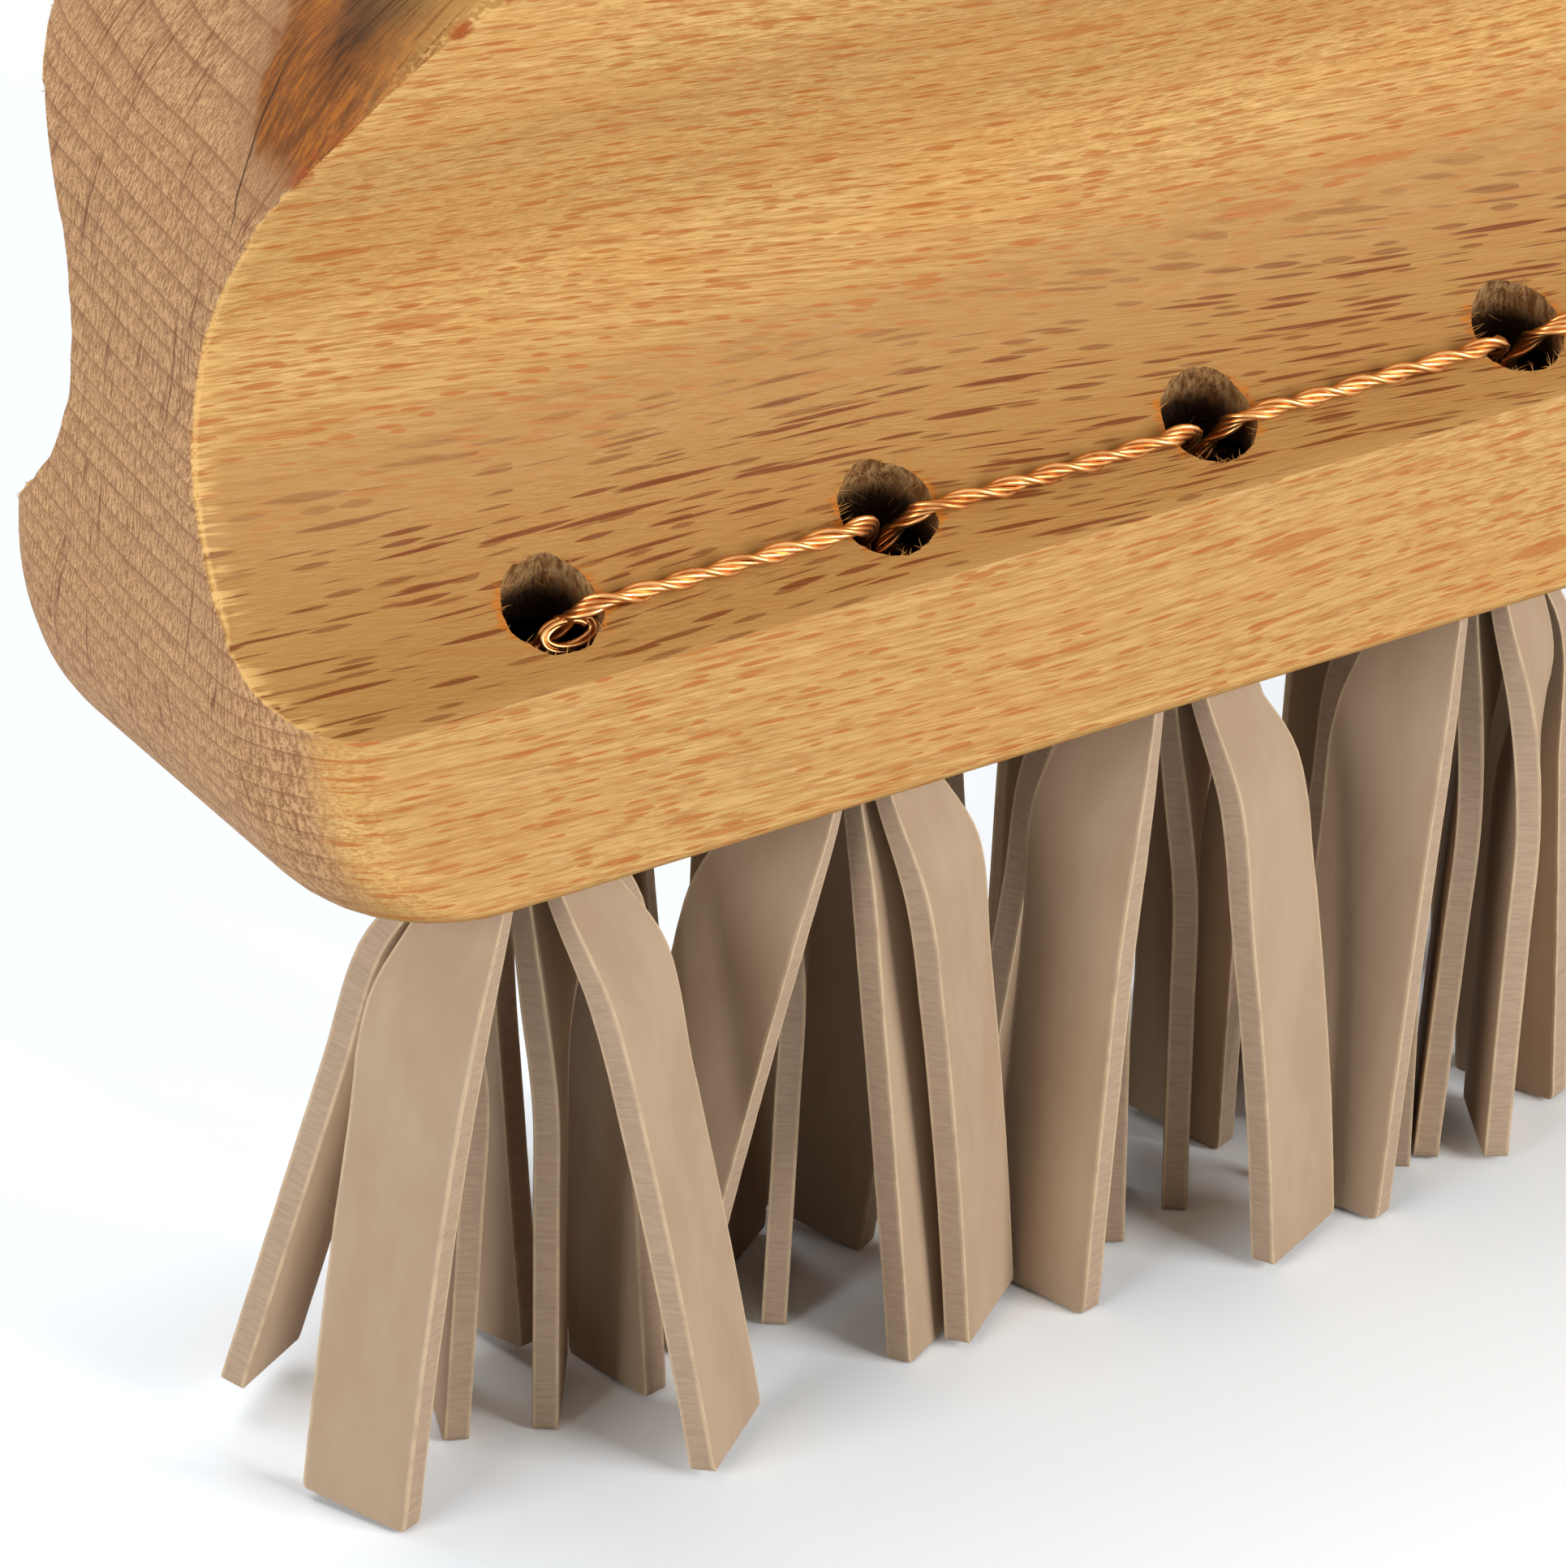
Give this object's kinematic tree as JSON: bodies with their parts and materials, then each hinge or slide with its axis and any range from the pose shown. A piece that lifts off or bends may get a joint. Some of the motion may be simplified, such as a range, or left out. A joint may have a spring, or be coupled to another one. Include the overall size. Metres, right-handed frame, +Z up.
{
  "type": "lint brush",
  "caption": "Long waisted wooden brush back with tufts of folded flat rubber strips drawn into it by copper wire, for lifting lint and hair off cloth.",
  "frame": {"origin": "on the surface that the strips' tips stand on, under the middle of the back", "axes": "+Z up through the back, +X along the brush, -Y towards the front with the pictured drawing wire"},
  "size_m": [0.171, 0.0346, 0.0875],
  "materials": {
    "beech": "oiled beech, satin, with ray flecks and a darker end grain",
    "rubber": "matt warm beige natural rubber sheet with cut edges",
    "copper": "bright twisted copper wire"
  },
  "bodies": {
    "root": {"back": "beech", "front_strip_1_inner": "rubber", "front_strip_1_cross": "rubber", "front_strip_1_outer": "rubber", "front_strip_2_inner": "rubber", "front_strip_2_cross": "rubber", "front_strip_2_outer": "rubber", "front_strip_3_inner": "rubber", "front_strip_3_cross": "rubber", "front_strip_3_outer": "rubber", "front_strip_4_inner": "rubber", "front_strip_4_cross": "rubber", "front_strip_4_outer": "rubber", "front_strip_5_inner": "rubber", "front_strip_5_cross": "rubber", "front_strip_5_outer": "rubber", "front_strip_6_inner": "rubber", "front_strip_6_cross": "rubber", "front_strip_6_outer": "rubber", "front_strip_7_inner": "rubber", "front_strip_7_cross": "rubber", "front_strip_7_outer": "rubber", "front_strip_8_inner": "rubber", "front_strip_8_cross": "rubber", "front_strip_8_outer": "rubber", "front_wire": "copper", "rear_strip_1_inner": "rubber", "rear_strip_1_cross": "rubber", "rear_strip_1_outer": "rubber", "rear_strip_2_inner": "rubber", "rear_strip_2_cross": "rubber", "rear_strip_2_outer": "rubber", "rear_strip_3_inner": "rubber", "rear_strip_3_cross": "rubber", "rear_strip_3_outer": "rubber", "rear_strip_4_inner": "rubber", "rear_strip_4_cross": "rubber", "rear_strip_4_outer": "rubber", "rear_strip_5_inner": "rubber", "rear_strip_5_cross": "rubber", "rear_strip_5_outer": "rubber", "rear_strip_6_inner": "rubber", "rear_strip_6_cross": "rubber", "rear_strip_6_outer": "rubber", "rear_strip_7_inner": "rubber", "rear_strip_7_cross": "rubber", "rear_strip_7_outer": "rubber", "rear_strip_8_inner": "rubber", "rear_strip_8_cross": "rubber", "rear_strip_8_outer": "rubber", "rear_wire": "copper"}
  },
  "joints": []
}
